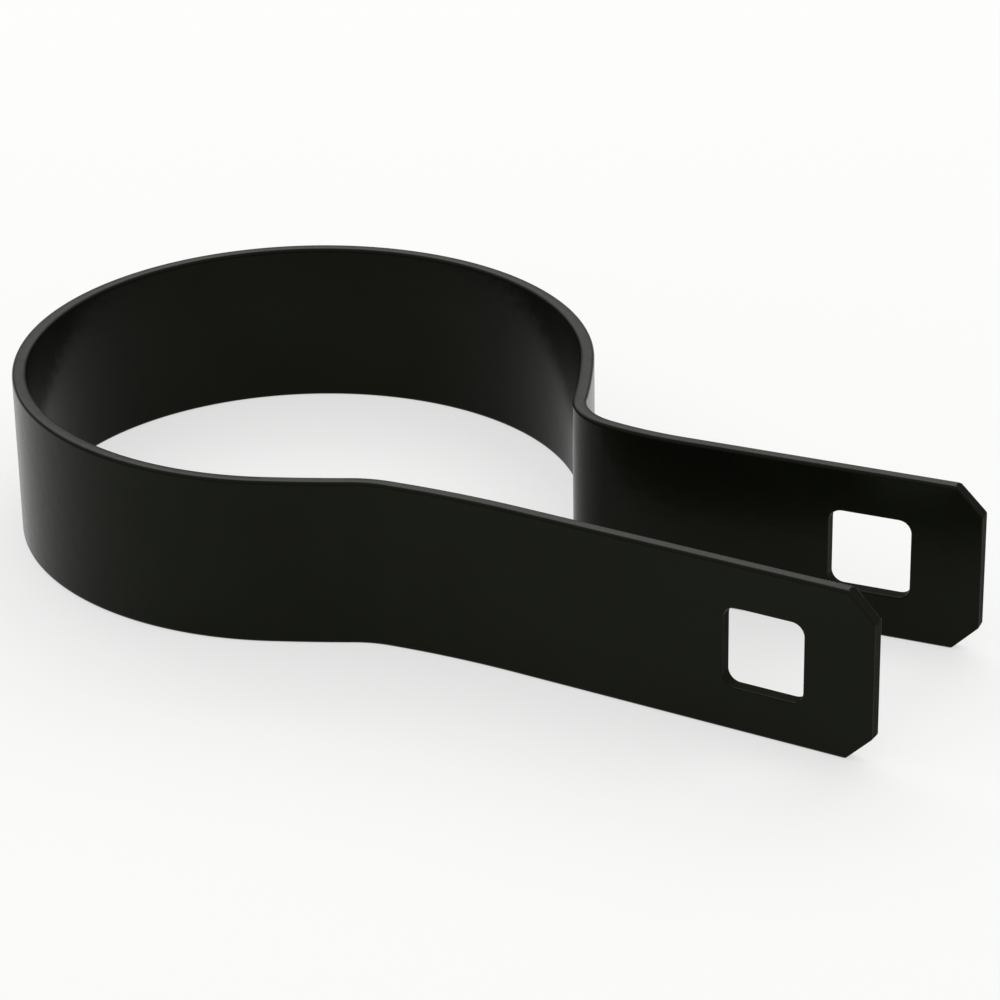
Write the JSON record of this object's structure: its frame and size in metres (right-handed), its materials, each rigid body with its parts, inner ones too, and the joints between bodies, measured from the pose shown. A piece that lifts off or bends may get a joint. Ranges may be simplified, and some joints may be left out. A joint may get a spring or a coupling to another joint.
{
  "type": "fence tension band",
  "caption": "Open band of flat steel strip: a ring for a round post with two legs, each with a square bolt hole near its cut-cornered tip.",
  "frame": {"origin": "on the ring's axis, at the level of the band's lower edge", "axes": "+Z along the ring's axis, +X along the flat leg towards its tip, the necked leg on the +Y side"},
  "size_m": [0.1139, 0.0652, 0.0191],
  "materials": {
    "powder_coat_black": "semi-gloss black powder coat on steel strip"
  },
  "bodies": {
    "root": {"band": "powder_coat_black"}
  },
  "joints": []
}
